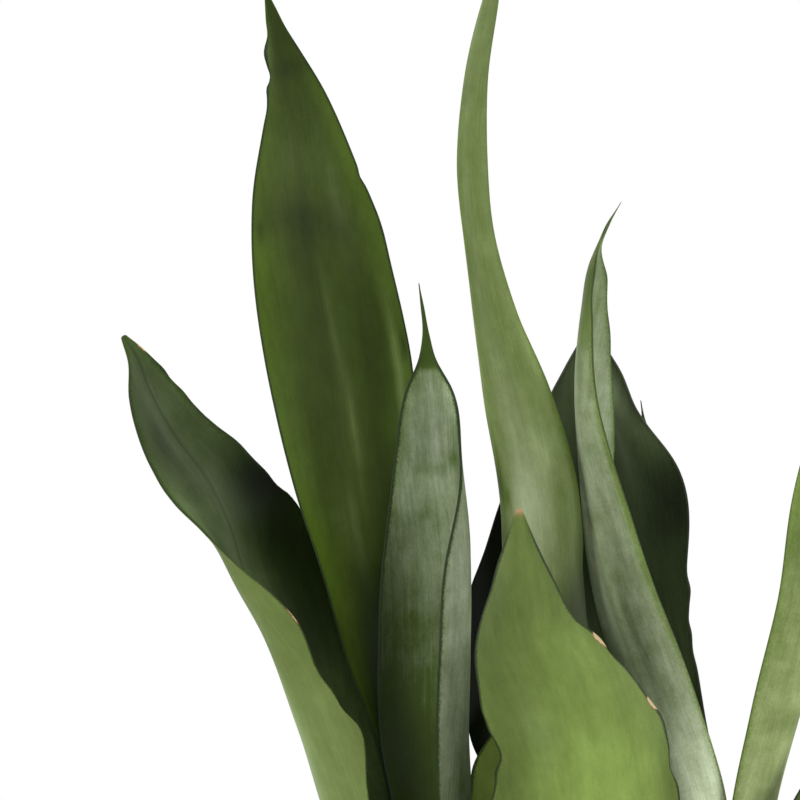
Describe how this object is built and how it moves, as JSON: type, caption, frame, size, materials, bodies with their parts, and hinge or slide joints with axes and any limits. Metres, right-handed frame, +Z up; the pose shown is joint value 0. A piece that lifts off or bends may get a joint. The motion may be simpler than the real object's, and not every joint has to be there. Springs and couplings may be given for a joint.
{
  "type": "potted snake plant",
  "caption": "Upright snake plant with broad, pointed silver-green leaves in fanned shoots, growing in soil in a plain round nursery pot.",
  "frame": {"origin": "centre of the pot's flat base, on the surface it stands on", "axes": "+Z up along the pot's axis and the leaves; the plant's front, the side the picture shows, looks along -Y; +X is to the right as seen from the front"},
  "size_m": [0.3077, 0.19, 0.6043],
  "materials": {
    "pot": "satin, fine moulded texture",
    "soil": "matte, crumbly potting mix",
    "rhizome": "matte, fleshy",
    "leaf_dark": "waxy satin",
    "leaf_light": "waxy satin",
    "leaf_silver": "waxy satin with a silvery bloom"
  },
  "bodies": {
    "root": {"pot": "pot", "soil": "soil", "rhizome": "rhizome", "leaf_left_tall": "leaf_dark", "leaf_left_outer": "leaf_dark", "leaf_left_young": "leaf_silver", "leaf_middle_front": "leaf_light", "leaf_middle_tall": "leaf_light", "leaf_middle_back": "leaf_dark", "leaf_middle_short": "leaf_dark", "leaf_right_young": "leaf_silver", "leaf_right_outer": "leaf_light", "leaf_right_back": "leaf_dark", "leaf_right_low": "leaf_dark", "leaf_pup_spear": "leaf_silver"}
  },
  "joints": []
}
